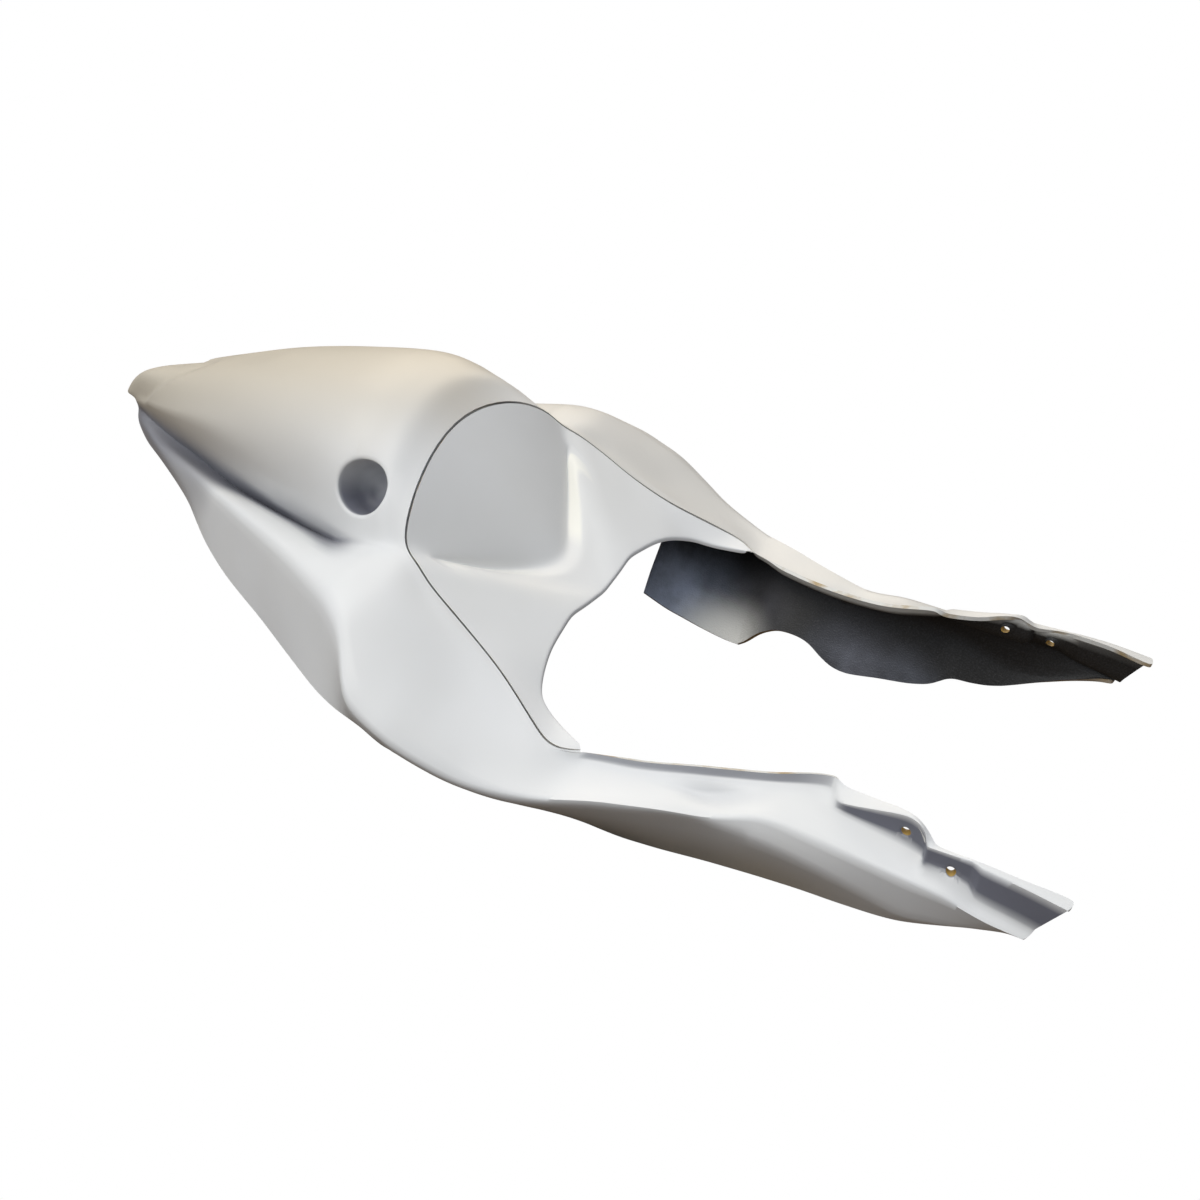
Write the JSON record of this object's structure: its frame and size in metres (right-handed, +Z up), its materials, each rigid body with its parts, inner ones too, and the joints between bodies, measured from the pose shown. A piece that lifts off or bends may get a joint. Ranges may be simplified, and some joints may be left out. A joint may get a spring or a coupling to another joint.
{
  "type": "motorcycle tail fairing",
  "caption": "Unpainted race-style motorcycle tail fairing: a pointed hump with wide hips and two long forward arms, thin-walled, with a shaped seat pan set into a rebate",
  "frame": {"origin": "middle of the bounding box in plan, on the level of the lowest edge of the arms", "axes": "+X points forward along the arms, +Y to the left and +Z up, as on the motorcycle"},
  "size_m": [0.806, 0.415, 0.2388],
  "materials": {
    "shell_gelcoat": "satin white primer gelcoat outside, dark fibre laminate inside",
    "pan_gelcoat": "satin white primer gelcoat"
  },
  "bodies": {
    "root": {"tail_shell": "shell_gelcoat", "seat_pan": "pan_gelcoat"}
  },
  "joints": []
}
